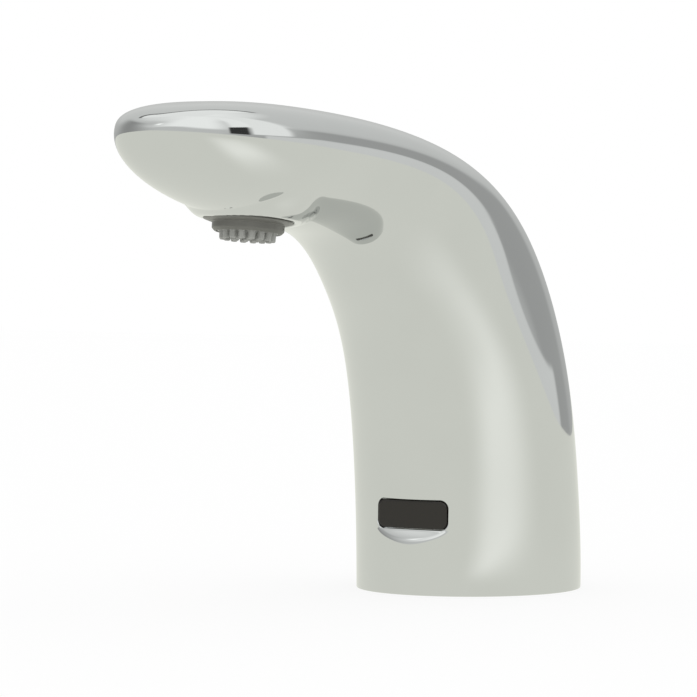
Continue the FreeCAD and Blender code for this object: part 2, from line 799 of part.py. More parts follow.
def solenoid_yoke():
    """Strip bent round the coil, with a hole for the sleeve in its two ends."""
    half = bobbin_radius + 0.2
    outer = block((-half - yoke_thickness, -6.5, bonnet_top), (half + yoke_thickness, 6.5, coil_high + yoke_thickness))
    inner = block((-half, -7, coil_low), (half, 7, coil_high))
    return outer.cut([inner, cylinder(sleeve_radius + 0.1, bonnet_top - 1, coil_high + 3)])


def coil_retainer():
    """Spring washer pushed over the end of the sleeve to hold the yoke and the coil."""
    low = coil_high + yoke_thickness
    washer = sided([(sleeve_radius + 0.02, low), (7.0, low), (7.0, low + 0.5), (sleeve_radius + 0.02, low + 1.1)])
    notch = block((-8, -0.8, low - 1), (8, 0.8, low + 2)).cut(cylinder(5.9, low - 2, low + 3))
    return washer.cut(notch)


def coil_lead():
    start = V(0, -coil_radius, coil_high - 5)
    corner = V(0, housing_back_y - 2.5, coil_high - 5)
    return pipe([start, corner, V(corner.x, corner.y, housing_high)], lead_radius - 0.3)


# ---- tube from the valve to the head
ear_seal_height = diaphragm_thickness - 0.2


def beside_centre(u, aside):
    """Point half way between the body's lines, moved aside to -X."""
    point = (back_line.value(u) + front_line.value(u)) / 2
    return V(-aside, point.y, point.z)


def outlet_tube():
    foot = valve_top - gallery_drop + gallery_radius
    route = [V(-ear_reach, 0, foot), V(-ear_reach, 0, coil_high), beside_centre(tube_low_share, 0.45 * ear_reach),
             beside_centre(tube_high_share, 0.1 * ear_reach),
             V(0, feed_end_y + tube_straight, feed_height), V(0, feed_end_y, feed_height)]
    return pipe(route, tube_radius).cut(pipe(route, tube_radius - tube_wall))


def tube_seals():
    """Square ring round the tube on the valve's port."""
    return ring(tube_radius + 0.02, ear_radius - 0.1, valve_top, valve_top + ear_seal_height, -ear_reach, 0)


# ---- aerator, drawn about the outlet's axis with z = 0 at the rim
housing_bore = flange_radius - 2.4
ledge = -1.8
sleeve_high = 6.2
straightener_high = 3.0
regulator_high = 5.2


def aerator_housing():
    outline = [
        (0, 0), (flange_radius, 0), (flange_radius, -flange_edge), (skirt_radius + 0.4, -flange_edge - 0.6),
        (skirt_radius, -flange_edge - 0.6), (skirt_radius, -skirt_length + skirt_bevel),
        (skirt_radius - skirt_bevel, -skirt_length), (0, -skirt_length)]
    hollow = [cylinder(housing_bore, ledge, sleeve_high), cylinder(housing_bore - 0.9, -skirt_length, ledge)]
    threaded = cylinder(thread_radius - running_gap - 0.02, 0, sleeve_high, 0, 0, round_sides)
    return at_outlet(sided(outline, round_sides).fuse(threaded).cut(hollow))


def nozzle_plate():
    """Soft plate with a ring of short nozzles that are easy to rub clean."""
    disc = sided([(0, -skirt_length), (housing_bore - 1.0, -skirt_length), (housing_bore - 1.0, ledge),
                   (housing_bore - 0.05, ledge), (housing_bore - 0.05, ledge + 1.0), (0, ledge + 1.0)])
    rings = ((nozzle_ring, nozzle_count), (0.57 * nozzle_ring, nozzle_count // 2), (0, 1))
    nozzles = [cylinder(nozzle_radius, -skirt_length - nozzle_length, -skirt_length,
                        *around(circle, i * 360 / count), 8)
               for circle, count in rings for i in range(count)]
    return at_outlet(disc.fuse(nozzles))


def flow_straightener():
    """Rim with crossed vanes."""
    low = ledge + 1.0
    rim = ring(housing_bore - 0.9, housing_bore - 0.05, low, straightener_high)
    vane = block((-housing_bore + 0.5, -0.3, low), (housing_bore - 0.5, 0.3, straightener_high))
    vanes = []
    for i in range(3):
        turned_vane = vane.copy()
        turned_vane.rotate(V(0, 0, 0), UP, 60 * i)
        vanes.append(turned_vane)
    return at_outlet(rim.fuse(vanes).removeSplitter())


def flow_regulator():
    disc = cylinder(housing_bore - 0.05, straightener_high, regulator_high)
    holes = [drill(0.9, straightener_high - 1, regulator_high + 1, *around(4.6, i * 45)) for i in range(8)]
    return at_outlet(disc.cut(holes))


def aerator_screen():
    """Fine mesh cap, domed against the flow."""
    rim = housing_bore - 0.05
    return at_outlet(sided([(0, regulator_high + 1.9), (4.0, regulator_high + 1.6), (rim - 1.2, regulator_high + 0.4),
                             (rim, regulator_high + 0.4), (rim, regulator_high), (rim - 1.6, regulator_high),
                             (4.0, regulator_high + 1.1), (0, regulator_high + 1.4)]))


def aerator_washer():
    return at_outlet(ring(chamber_radius + 0.6, thread_radius - 0.2, sleeve_high, aerator_bore_depth))


save("sensor_window", sensor_window())
save("sensor_gasket", sensor_gasket())
save("sensor_housing", sensor_housing())
save("sensor_board", sensor_board())
save("ir_emitter", lens(-1))
save("ir_receiver", lens(1))
save("sensor_bracket", sensor_bracket())
save("bracket_screw", bracket_screw())
save("base_plate", base_plate())
save("base_gasket", base_gasket())
save("base_plate_screws", plate_screws())
save("inlet_fitting", inlet_fitting())
save("inlet_filter", inlet_filter())
save("cable_grommet", cable_grommet())
save("sensor_lead", sensor_lead())
save("valve_body", valve_body())
save("gallery_plug", gallery_plug())
save("check_valve_housing", check_housing())
save("check_valve_poppet", check_poppet())
save("check_valve_spring", check_spring())
save("diaphragm", diaphragm())
save("diaphragm_insert", diaphragm_insert())
save("valve_bonnet", valve_bonnet())
save("bonnet_screws", bonnet_screws())
save("plunger", plunger())
save("plunger_seal", plunger_seal())
save("plunger_spring", plunger_spring())
save("fixed_core", fixed_core())
save("coil_bobbin", coil_bobbin())
save("coil_winding", coil_winding())
save("solenoid_yoke", solenoid_yoke())
save("coil_retainer", coil_retainer())
save("coil_lead", coil_lead())
save("outlet_tube", outlet_tube())
save("tube_seals", tube_seals())
save("aerator_housing", aerator_housing())
save("nozzle_plate", nozzle_plate())
save("flow_straightener", flow_straightener())
save("flow_regulator", flow_regulator())
save("aerator_screen", aerator_screen())
save("aerator_washer", aerator_washer())
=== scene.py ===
import json
import math

import bpy
import numpy as np
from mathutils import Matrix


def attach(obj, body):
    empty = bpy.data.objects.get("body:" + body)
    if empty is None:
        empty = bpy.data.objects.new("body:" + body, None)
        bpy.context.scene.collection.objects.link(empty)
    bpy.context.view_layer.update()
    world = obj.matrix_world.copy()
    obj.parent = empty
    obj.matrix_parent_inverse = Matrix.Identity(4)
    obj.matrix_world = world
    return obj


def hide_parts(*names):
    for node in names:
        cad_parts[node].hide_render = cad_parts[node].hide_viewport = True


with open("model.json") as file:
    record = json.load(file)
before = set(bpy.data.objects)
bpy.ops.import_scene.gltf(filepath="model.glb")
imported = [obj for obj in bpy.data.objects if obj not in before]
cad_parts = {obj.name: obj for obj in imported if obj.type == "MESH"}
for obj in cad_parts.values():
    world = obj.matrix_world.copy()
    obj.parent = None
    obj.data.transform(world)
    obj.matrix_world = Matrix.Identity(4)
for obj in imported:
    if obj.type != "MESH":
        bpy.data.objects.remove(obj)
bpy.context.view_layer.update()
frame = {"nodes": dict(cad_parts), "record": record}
print("frame loaded:", len(frame["nodes"]), "nodes")

# the pieces' lengths are in millimetres, and become metres where a mesh is made;
# those of the camera and the studio are in metres


# meshes from grids of points
def facesBetween(rows):
    # quads between each row of vertex numbers and the next, and triangles where a row is one point
    faces = []
    for low, high in zip(rows, rows[1:]):
        nextLow, nextHigh = np.roll(low, -1), np.roll(high, -1)
        if (low == low[0]).all():
            faces += np.stack([low, nextHigh, high], 1).tolist()
        elif (high == high[0]).all():
            faces += np.stack([low, nextLow, high], 1).tolist()
        else:
            faces += np.stack([low, nextLow, nextHigh, high], 1).tolist()
    return faces


def makePiece(name, points, faces, body, replaced, material, sharpOver=40):
    # a mesh in metres that rides on a body, smooth but for edges that turn by more than sharpOver degrees
    mesh = bpy.data.meshes.new(name)
    mesh.from_pydata((points * 0.001).tolist(), [], faces)
    mesh.shade_smooth()
    mesh.set_sharp_from_angle(angle=math.radians(sharpOver))
    mesh.materials.append(material)
    piece = bpy.data.objects.new(name, mesh)
    bpy.context.scene.collection.objects.link(piece)
    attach(piece, body)
    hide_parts(*replaced)
    return piece


def turnedGrid(profile, segments):
    # points: (radius cos a, radius sin a, height), one ring for each corner of the profile
    radii, heights = np.array(profile, float).T
    angles = np.arange(segments) * 2 * np.pi / segments
    ring = np.stack([np.cos(angles), np.sin(angles)], 1)
    flat = radii[:, None, None] * ring[None]
    points = np.concatenate([flat, np.broadcast_to(heights[:, None, None], flat.shape[:2] + (1,))], 2)
    numbers = np.arange(len(radii) * segments).reshape(len(radii), segments)
    numbers[radii == 0] = numbers[radii == 0][:, :1]
    return points.reshape(-1, 3), facesBetween(numbers)


def roundedProfile(corners, radius, steps=4):
    # each inner corner of the outline gives way to a small arc, drawn as a quadratic curve
    corners = np.array(corners, float)
    outline = [corners[:1]]
    share = np.linspace(0, 1, steps + 1)[:, None]
    for before, corner, after in zip(corners, corners[1:], corners[2:]):
        back, ahead = before - corner, after - corner
        start = corner + back * min(0.45, radius / np.linalg.norm(back))
        end = corner + ahead * min(0.45, radius / np.linalg.norm(ahead))
        outline.append((1 - share) ** 2 * start + 2 * share * (1 - share) * corner + share ** 2 * end)
    return np.concatenate(outline + [corners[-1:]])


# materials: noise on Object coordinates drives colour, gloss and height
def newMaterial(name):
    # an empty surface and what its pattern is drawn from
    material = bpy.data.materials.new(name)
    material.use_nodes = True
    nodes, links = material.node_tree.nodes, material.node_tree.links
    shader = nodes["Principled BSDF"]
    place = nodes.new("ShaderNodeTexCoord").outputs["Object"]
    return material, nodes, links, shader, place


def noise(nodes, links, place, scale, detail=3.0, roughness=0.5):
    # 0 to 1, with about scale spots to a metre
    node = nodes.new("ShaderNodeTexNoise")
    node.inputs["Scale"].default_value = scale
    node.inputs["Detail"].default_value = detail
    node.inputs["Roughness"].default_value = roughness
    links.new(place, node.inputs["Vector"])
    return node.outputs["Fac"]


def ramp(nodes, links, value, stops):
    # colour by value, in straight lines between the stops
    node = nodes.new("ShaderNodeValToRGB")
    while len(node.color_ramp.elements) < len(stops):
        node.color_ramp.elements.new(0.5)
    for element, (position, colour) in zip(node.color_ramp.elements, stops):
        element.position = position
        element.color = (*colour, 1)
    links.new(value, node.inputs["Fac"])
    return node.outputs["Color"]


def remap(nodes, links, value, low, high):
    # low where the value is 0, high where it is 1
    node = nodes.new("ShaderNodeMapRange")
    node.inputs["To Min"].default_value = low
    node.inputs["To Max"].default_value = high
    links.new(value, node.inputs["Value"])
    return node.outputs["Result"]


def bump(nodes, links, shader, height, strength, distance):
    # tilts the surface by the slope of the height, which is distance metres at 1
    node = nodes.new("ShaderNodeBump")
    node.inputs["Strength"].default_value = strength
    node.inputs["Distance"].default_value = distance
    links.new(height, node.inputs["Height"])
    links.new(node.outputs["Normal"], shader.inputs["Normal"])


def finish(name, colour, roughness, metallic=0.0, grain=900.0, depth=0.00002, shift=0.12):
    # plain worked surface: fine grain in the height, a slow drift in the colour and the gloss
    material, nodes, links, shader, place = newMaterial(name)
    fine = noise(nodes, links, place, grain, 2.0)
    slow = noise(nodes, links, place, grain * 0.12, 3.0)
    dark = [c * (1 - shift) for c in colour]
    light = [min(1.0, c * (1 + shift)) for c in colour]
    links.new(ramp(nodes, links, slow, [(0.3, dark), (0.7, light)]), shader.inputs["Base Color"])
    links.new(remap(nodes, links, fine, roughness * 0.8, roughness * 1.2), shader.inputs["Roughness"])
    shader.inputs["Metallic"].default_value = metallic
    bump(nodes, links, shader, fine, 0.4, depth)
    return material


chromeLook = {
    "colour": (0.66, 0.67, 0.67),
    "duller": 0.985,       # share of the colour that is left where it is darkest
    "rippleScale": 45.0, "ripple": 0.000003,    # slow unevenness of the casting: spots to a metre, depth
    "marksScale": 260.0,
    "roughness": 0.028, "haze": 0.016,          # between the wiping marks, and how much the marks add
}


def chromeMaterial():
    # a clean mirror with a slow ripple and faint wiping marks
    material, nodes, links, shader, place = newMaterial("polishedChrome")
    slow = noise(nodes, links, place, chromeLook["rippleScale"], 2.0)
    tone = [(0.35, [c * chromeLook["duller"] for c in chromeLook["colour"]]), (0.65, chromeLook["colour"])]
    links.new(ramp(nodes, links, slow, tone), shader.inputs["Base Color"])
    marks = noise(nodes, links, place, chromeLook["marksScale"], 4.0, 0.6)
    low = chromeLook["roughness"]
    links.new(remap(nodes, links, marks, low, low + chromeLook["haze"]), shader.inputs["Roughness"])
    shader.inputs["Metallic"].default_value = 1.0
    bump(nodes, links, shader, slow, 0.15, chromeLook["ripple"])
    return material


chrome = chromeMaterial()
finishes = {
    "chrome_casting": chrome,
    "dark_window": finish("darkWindow", (0.008, 0.005, 0.003), 0.12, grain=700, depth=0.000002),
    "black_rubber": finish("blackRubber", (0.025, 0.025, 0.025), 0.6),
    "black_plastic": finish("blackPlastic", (0.045, 0.045, 0.045), 0.42),
    "board_green": finish("circuitBoard", (0.03, 0.17, 0.07), 0.35),
    "lens_clear": finish("clearLens", (0.55, 0.57, 0.6), 0.1),
    "lens_dark": finish("darkLens", (0.06, 0.05, 0.07), 0.1),
    "steel_sheet": finish("zincSteel", (0.55, 0.56, 0.57), 0.32, 1.0),
    "steel_screw": finish("stainlessSteel", (0.6, 0.6, 0.61), 0.25, 1.0),
    "brass_part": finish("turnedBrass", (0.72, 0.54, 0.26), 0.28, 1.0),
    "steel_mesh": finish("stainlessMesh", (0.58, 0.58, 0.59), 0.35, 1.0),
    "lead_sheath": finish("leadSheath", (0.03, 0.03, 0.03), 0.5),
    "white_plastic": finish("naturalAcetal", (0.82, 0.82, 0.79), 0.4),
    "spring_steel": finish("springSteel", (0.6, 0.6, 0.6), 0.28, 1.0),
    "plunger_steel": finish("groundSteel", (0.64, 0.64, 0.64), 0.22, 1.0),
    "copper_wire": finish("enamelledCopper", (0.62, 0.27, 0.13), 0.3, 1.0),
    "tube_plastic": finish("tubePlastic", (0.78, 0.8, 0.8), 0.4),
    "olive_plastic": finish("olivePlastic", (0.135, 0.135, 0.118), 0.36),
    "olive_silicone": finish("oliveSilicone", (0.34, 0.345, 0.32), 0.3),
}
print("materials:", len(finishes))


# the spout's skin: oval sections carried along the body, with the window's opening and the outlet
body = {
    "foot": 28.5, "reach": 134.7, "tipHeight": 114.6,    # radius at the deck, the head's tip
    "footEdge": 0.35,      # where the rounding above the deck starts
    # radius and height from that rounding over the flat on the deck and up the wall to the base plate
    "footProfile": [(28.4, 0.1), (28.15, 0), (26.2, 0), (25.9, 0.3), (25.9, 8.1)],
    "fold": 0.3,           # rounding of the edge round the window
    "scoopSoft": 0.35,     # rounding where the hollow under the window meets the skin
    "collarSoft": 2.0,     # rounding where the collar meets the skin
}
foot = body["foot"]
tip = (0, -body["reach"], body["tipHeight"])
backLine = [(0, foot, 0), (0, foot, 8.3), (0, 22.5, 29), (0, 17.5, 58.5), (0, 5.4, 93.3), (0, -30, 113.5),
            (0, -87.7, 121.9), (0, -body["reach"], 122.5), tip]
frontLine = [(0, -foot, 0), (0, -foot, 8.3), (0, -26, 31), (0, -31.7, 60), (0, -48.7, 74.5),
             (0, -63.6, 92.3), (0, -108.2, 92.3), (0, -body["reach"], 104.9), tip]
# half width, power of the upper half, place of the widest point
shapeLine = [(foot, 2.0, 0.5), (foot, 2.05, 0.5), (29.5, 2.15, 0.51), (28.5, 2.35, 0.53), (24.4, 2.7, 0.58),
             (23.3, 2.95, 0.65), (23.3, 2.85, 0.67), (20.2, 2.7, 0.62), (0, 2.6, 0.62)]


def smoothLine(poles, u):
    # clamped cubic curve with evenly spaced knots: de Boor's rule on the whole array u at once
    poles = np.array(poles, float)
    spans = len(poles) - 3
    knots = np.concatenate([[0.0] * 3, np.arange(spans + 1) / spans, [1.0] * 3])
    span = np.clip((u * spans).astype(int), 0, spans - 1) + 3
    points = [poles[span - 3 + j] for j in range(4)]
    for level in (1, 2, 3):
        for j in range(3, level - 1, -1):
            low, high = knots[span - 3 + j], knots[span + 1 + j - level]
            share = ((u - low) / (high - low))[..., None]
            points[j] = points[j - 1] + (points[j] - points[j - 1]) * share
    return points[3]


def skinPoint(u, turn):
    # |across|^p + |along|^p = 1 gives the oval at u, along from front to back and across in x
    back, front, shape = (smoothLine(line, u) for line in (backLine, frontLine, shapeLine))
    along, across = np.cos(turn), np.sin(turn)
    power = np.where(along > 0, shape[..., 1], 2.0)
    reach = (np.abs(along) ** power + np.abs(across) ** power) ** (-1 / power)
    depth = shape[..., 2] + np.where(along > 0, 1 - shape[..., 2], shape[..., 2]) * reach * along
    point = front + (back - front) * depth[..., None]
    point[..., 0] = shape[..., 0] * reach * across
    return point


def findOnSkin(target, project, u, turn):
    # Newton steps in u and turn until the projected skin point meets the target
    step = 1e-5
    for _ in range(12):
        here = project(skinPoint(u, turn))
        alongU = (project(skinPoint(u + step, turn)) - here) / step
        alongTurn = (project(skinPoint(u, turn + step)) - here) / step
        miss = target - here
        area = alongU[..., 0] * alongTurn[..., 1] - alongU[..., 1] * alongTurn[..., 0]
        u = u + (miss[..., 0] * alongTurn[..., 1] - miss[..., 1] * alongTurn[..., 0]) / area
        turn = turn + (alongU[..., 0] * miss[..., 1] - alongU[..., 1] * miss[..., 0]) / area
    return u, turn


# one cell of the grid is left out for each opening: heights or y of its ends, degrees to each side
grid = {
    "windowHeights": (8.5, 27.5), "windowTurn": 33, "outletEnds": (-76.0, -116.5), "outletTurn": 62,
    "noseStart": 0.96, "noseCrowding": 1.8,
    "footLines": 9, "windowLines": 50, "neckLines": 90, "outletLines": 60, "headLines": 30, "noseLines": 24,
    "backColumns": 66, "sideColumns": 20, "frontColumns": 100,
    "windowRing": 45, "outletRing": 39, "ringCrowding": 1.6,    # rows from the cell's edge inwards
}
window = {
    "halfWidth": 10.4, "low": 16.3, "high": 23.8, "corner": 2.1, "face": -26.1, "back": -22.9,
    "scoopSlope": 0.42, "scoopBulge": 0.7, "scoopFall": 5.6,
    "gap": 0.2, "backGap": 0.05, "sides": 240, "smallestCorner": 0.12,    # the plate in its opening
    # inset and fall of the plate's rounded front edge, from the middle outwards
    "plateEdge": [(3.4, 0), (1.6, 0), (0.8, 0), (0.45, 0), (0.28, 0.03), (0.14, 0.1), (0.04, 0.22),
                  (0, 0.4)],
}
outlet = {
    "reach": 96.0, "height": 93.8, "tilt": 7.0, "collar": 11.3, "bead": 0.19, "beadReach": 4.3,
    "bore": 10.4, "boreDepth": 8.5, "threadTurns": 7, "threadDepth": 0.35,
    "chamber": 7.0, "chamberTop": 19.5,
}
tilt = math.radians(outlet["tilt"])
outletAxes = np.array([[1, 0, 0],
                       [0, math.cos(tilt), -math.sin(tilt)],
                       [0, math.sin(tilt), math.cos(tilt)]])
outletPlace = np.array([0, -outlet["reach"], outlet["height"]])


# the outlet's own frame: its centre is the collar's, and z runs up its tilted axis
def toOutlet(points):
    return (points - outletPlace) @ outletAxes.T


def fromOutlet(points):
    return points @ outletAxes + outletPlace


def roundedRectangle(count, halfWidth, low, high, corner):
    # outline from the middle of the lower side towards +x, by its own length
    middle, halfHeight = (low + high) / 2, (high - low) / 2
    quarter = np.linspace(0, np.pi / 2, 24)
    centres = [(halfWidth - corner, corner - halfHeight), (halfWidth - corner, halfHeight - corner),
               (corner - halfWidth, halfHeight - corner), (corner - halfWidth, corner - halfHeight)]
    outline = [np.array([[0, -halfHeight]])]
    for i, centre in enumerate(centres):
        turn = quarter + (i - 1) * np.pi / 2
        outline.append(np.array(centre) + corner * np.stack([np.cos(turn), np.sin(turn)], 1))
    outline = np.concatenate(outline + [outline[0]])
    length = np.concatenate([[0], np.cumsum(np.linalg.norm(np.diff(outline, axis=0), axis=1))])
    wanted = np.arange(count) / count * length[-1]
    return np.stack([np.interp(wanted, length, outline[:, 0]),
                     np.interp(wanted, length, outline[:, 1]) + middle], 1)


def softMax(a, b, soft):
    # the larger of the two, rounded where they differ by less than soft
    return np.maximum(a, b) + np.maximum(soft - np.abs(a - b), 0) ** 2 / (4 * soft)


def uAtFront(axis, value, low, high):
    # share of the body, between low and high, at which the front line has this y or z
    u = np.linspace(low, high, 2000)
    line = smoothLine(frontLine, u)[:, axis]
    order = np.argsort(line)
    return float(np.interp(value, line[order], u[order]))


def spacedLines(stops):
    # parameter lines through the given stops, each stretch with its own number of steps
    lines = [np.linspace(a, b, steps, endpoint=False) for (a, steps), (b, _) in zip(stops, stops[1:])]
    return np.concatenate(lines + [[stops[-1][0]]])


def skinGrid():
    # lines along the body and columns round it, even in each stretch and crowded towards the nose, and
    # the two left-out cells as numbers of lines and columns
    windowU = [uAtFront(2, height, 0, 0.4) for height in grid["windowHeights"]]
    outletU = [uAtFront(1, y, 0.5, 0.95) for y in grid["outletEnds"]]
    nose, noseLines = grid["noseStart"], grid["noseLines"]
    uLines = spacedLines([(0, grid["footLines"]), (windowU[0], grid["windowLines"]),
                          (windowU[1], grid["neckLines"]), (outletU[0], grid["outletLines"]),
                          (outletU[1], grid["headLines"]), (nose, noseLines), (1, 0)])
    uLines[-noseLines - 1:] = 1 - (1 - nose) * np.linspace(1, 0, noseLines + 1) ** grid["noseCrowding"]
    windowTurn, outletTurn = math.radians(grid["windowTurn"]), math.radians(grid["outletTurn"])
    back, side = grid["backColumns"], grid["sideColumns"]
    turns = spacedLines([(0, back), (math.pi - outletTurn, side),
                         (math.pi - windowTurn, grid["frontColumns"]), (math.pi + windowTurn, side),
                         (math.pi + outletTurn, back), (2 * math.pi, 0)])[:-1]
    cells = []
    for ends, halfTurn in ((windowU, windowTurn), (outletU, outletTurn)):
        rows = [int(np.argmin(abs(uLines - u))) for u in ends]
        columns = [int(np.argmin(abs(turns - turn))) for turn in (math.pi - halfTurn, math.pi + halfTurn)]
        cells.append((rows, columns))
    return uLines, turns, cells


def cellEdge(numbers, rows, columns):
    # round the cell from the middle of its lower side: turn falls as x grows at the front
    low = numbers[rows[0], columns[0]:columns[1] + 1]
    high = numbers[rows[1], columns[0]:columns[1] + 1]
    left = numbers[rows[0] + 1:rows[1], columns[1]]
    right = numbers[rows[0] + 1:rows[1], columns[0]]
    split = (columns[1] - columns[0]) // 2
    return np.concatenate([low[split::-1], right, high, left[::-1], low[:split:-1]])


def ringRows(edgeU, edgeTurn, innerU, innerTurn, shares):
    # rows on the skin that go over from the cell's edge to the inner outline, in u and turn
    u = edgeU[None] + (innerU - edgeU)[None] * shares[:, None]
    turn = edgeTurn[None] + (innerTurn - edgeTurn)[None] * shares[:, None]
    return skinPoint(u, turn)


def scooped(points):
    # the skin or a slanted flat below the window, whichever lies deeper; the flat is fuller in its middle
    drop = np.maximum(window["low"] - points[..., 2], 0)
    across = np.clip(1 - (points[..., 0] / window["halfWidth"]) ** 2, 0, 1)
    fullness = window["scoopBulge"] * across * np.sin(np.clip(drop / window["scoopFall"], 0, 1) * np.pi)
    flat = window["face"] - window["scoopSlope"] * drop - fullness
    flat = np.where(points[..., 2] > window["low"] + 2, -60, flat)    # far out: no hollow higher up
    points = points.copy()
    points[..., 1] = softMax(points[..., 1], flat, body["scoopSoft"])
    return points


def windowRows(edgeU, edgeTurn):
    # the ring of skin with the hollow, a quarter round over the edge, and the wall back to a flat end
    fold, count = body["fold"], len(edgeU)
    grown = roundedRectangle(count, window["halfWidth"] + fold, window["low"] - fold, window["high"] + fold,
                             window["corner"] + fold)
    edge = roundedRectangle(count, window["halfWidth"], window["low"], window["high"], window["corner"])
    guessU, guessTurn = np.full(count, (edgeU.min() + edgeU.max()) / 2), np.pi - grown[:, 0] / foot
    innerU, innerTurn = findOnSkin(grown, lambda points: points[..., (0, 2)], guessU, guessTurn)
    shares = np.linspace(0, 1, grid["windowRing"] + 1)[1:]
    rows = list(scooped(ringRows(edgeU, edgeTurn, innerU, innerTurn, shares)))
    lip = rows[-1]
    for angle in np.radians([25, 50, 75, 90]):
        row = lip.copy()
        row[:, (0, 2)] = grown + (edge - grown) * math.sin(angle)
        row[:, 1] = lip[:, 1] + fold * (1 - math.cos(angle))
        rows.append(row)
    wall = rows[-1]
    for share in (0.5, 1.0):
        row = wall.copy()
        row[:, 1] += (window["back"] - row[:, 1]) * share
        rows.append(row)
    return rows, (0, window["back"], (window["low"] + window["high"]) / 2)


def outletRows(edgeU, edgeTurn):
    # the skin blends into the collar; then come the rim, the threaded bore and the chamber above it
    collar, bore = outlet["collar"], outlet["bore"]
    turn = np.arange(len(edgeU)) / len(edgeU) * 2 * np.pi - np.pi / 2
    direction = np.stack([np.cos(turn), -np.sin(turn)], 1)
    circle = collar * direction
    # first guess: so much of u for a millimetre along, and the turn of a round neck across
    guessU = uAtFront(1, -outlet["reach"], 0.5, 0.95) - circle[:, 1] * 0.0032
    guessTurn = np.pi - circle[:, 0] / 24
    innerU, innerTurn = findOnSkin(circle, lambda points: toOutlet(points)[..., :2], guessU, guessTurn)
    shares = 1 - (1 - np.linspace(0, 1, grid["outletRing"] + 1)[1:]) ** grid["ringCrowding"]
    local = toOutlet(ringRows(edgeU, edgeTurn, innerU, innerTurn, shares))
    # the collar rises with the square of the distance from the rim, then straight, to the skin
    out = np.maximum(np.hypot(local[..., 0], local[..., 1]) - collar, 0)
    bent = np.minimum(out, outlet["beadReach"])
    rise = outlet["bead"] * (bent ** 2 + 2 * outlet["beadReach"] * (out - bent))
    local[..., 2] = -softMax(-local[..., 2], -rise, body["collarSoft"])
    profile = [(collar - 0.3, 0), (bore + 0.6, 0), (bore, 0.5)]
    for i in range(outlet["threadTurns"]):
        profile += [(bore + outlet["threadDepth"], 1.0 + i), (bore, 1.47 + i)]
    profile += [(bore, outlet["boreDepth"]), (outlet["chamber"], outlet["boreDepth"]),
                (outlet["chamber"], outlet["chamberTop"])]
    rim = np.concatenate([direction * (collar - 0.1), 0.3 * local[-1, :, 2:]], 1)
    inner = [np.insert(direction * radius, 2, height, axis=1) for radius, height in profile]
    rows = [fromOutlet(row) for row in [*local, rim, *inner]]
    return rows, fromOutlet(np.array([0, 0, outlet["chamberTop"]]))


def footRows(rim):
    # rings along the foot's profile, each point in the direction of its point on the skin
    outward = rim[:, :2] / np.linalg.norm(rim[:, :2], axis=1)[:, None]
    rows = [np.insert(outward * radius, 2, height, axis=1) for radius, height in body["footProfile"]]
    return rows, (0, 0, body["footProfile"][-1][1])


def joined(points, faces, loop, rows, centre, turned=False):
    # adds rows of points that follow the loop, and a centre that closes them, with faces between each two
    count, start = len(loop), len(points)
    numbers = start + np.arange(len(rows) * count).reshape(len(rows), count)
    order = [loop, *numbers, np.full(count, start + len(rows) * count)]
    points = np.concatenate([points, *rows, [centre]])
    return points, faces + facesBetween(order[::-1] if turned else order)


def spoutSkin():
    # the grid of skin points without its two cells, then rows from each cell and the foot to a closed end
    uLines, turns, cells = skinGrid()
    numbers = np.arange(len(uLines) * len(turns)).reshape(len(uLines), len(turns))
    u, turn = (values.ravel() for values in np.meshgrid(uLines, turns, indexing="ij"))
    points = skinPoint(u, turn)
    numbers[-1] = numbers[-1, 0]    # the tip is one point
    keep = np.ones((len(uLines) - 1, len(turns)), bool)
    for rows, columns in cells:
        keep[rows[0]:rows[1], columns[0]:columns[1]] = False
    ahead = np.roll(numbers, -1, 1)
    quads = np.stack([numbers[:-1], ahead[:-1], ahead[1:], numbers[1:]], 2)
    faces = quads[:-1][keep[:-1]].tolist() + quads[-1][:, :3].tolist()
    points[numbers[0], 2] = body["footEdge"]
    points, faces = joined(points, faces, numbers[0], *footRows(points[numbers[0]]), turned=True)
    for (rows, columns), rowsInside in zip(cells, (windowRows, outletRows)):
        edge = cellEdge(numbers, rows, columns)
        points, faces = joined(points, faces, edge, *rowsInside(u[edge], turn[edge]))
    return points, faces


skinPoints, skinFaces = spoutSkin()
skin = makePiece("spoutSkin", skinPoints, skinFaces, "tap", ["spout_shell"], chrome)
print("spout skin:", len(skin.data.polygons), "faces")


# the sensor's window: a rounded plate that fills the opening
def windowSlab():
    # outlines of a rounded rectangle, each smaller and nearer the face than the one behind it
    count = window["sides"]
    depth = window["back"] - window["face"] - window["backGap"]
    rows = window["plateEdge"] + [(0, depth)]
    points = []
    for inset, fall in rows:
        shrink = window["gap"] + inset
        corner = max(window["corner"] - shrink, window["smallestCorner"])
        flat = roundedRectangle(count, window["halfWidth"] - shrink, window["low"] + shrink,
                                window["high"] - shrink, corner)
        points.append(np.stack([flat[:, 0], np.full(count, window["face"] + fall), flat[:, 1]], 1))
    middle = (window["low"] + window["high"]) / 2
    ends = np.array([[0, window["face"], middle], [0, window["face"] + depth, middle]])
    numbers = np.arange(len(rows) * count).reshape(len(rows), count)
    first, last = np.full((1, count), numbers.size), np.full((1, count), numbers.size + 1)
    faces = facesBetween(list(np.concatenate([first, numbers, last])))
    return np.concatenate(points + [ends]), [face[::-1] for face in faces]


windowPoints, windowFaces = windowSlab()
windowPiece = makePiece("windowPlate", windowPoints, windowFaces, "tap", ["sensor_window"],
                        finishes["dark_window"])
print("window done")


# the aerator: a threaded ring with its skirt, and the soft plate with its nozzles
aerator = {
    "flange": 10.8, "flangeEdge": 0.3, "flangeTop": 0.02, "skirt": 8.6, "skirtDrop": 3.1, "bore": 8.4,
    "ledge": -1.8, "top": 6.2, "thread": 10.15, "threadTurns": 6, "pitch": 0.94, "threadDepth": 0.45,
    "rounding": 0.22, "sides": 128,
    "plateSides": 96, "nozzleRing": 5.95, "innerRing": 0.57, "count": 16,
    "nozzle": 0.8, "nozzleLength": 1.8, "nozzleRounding": 0.1, "nozzleSides": 20,
}


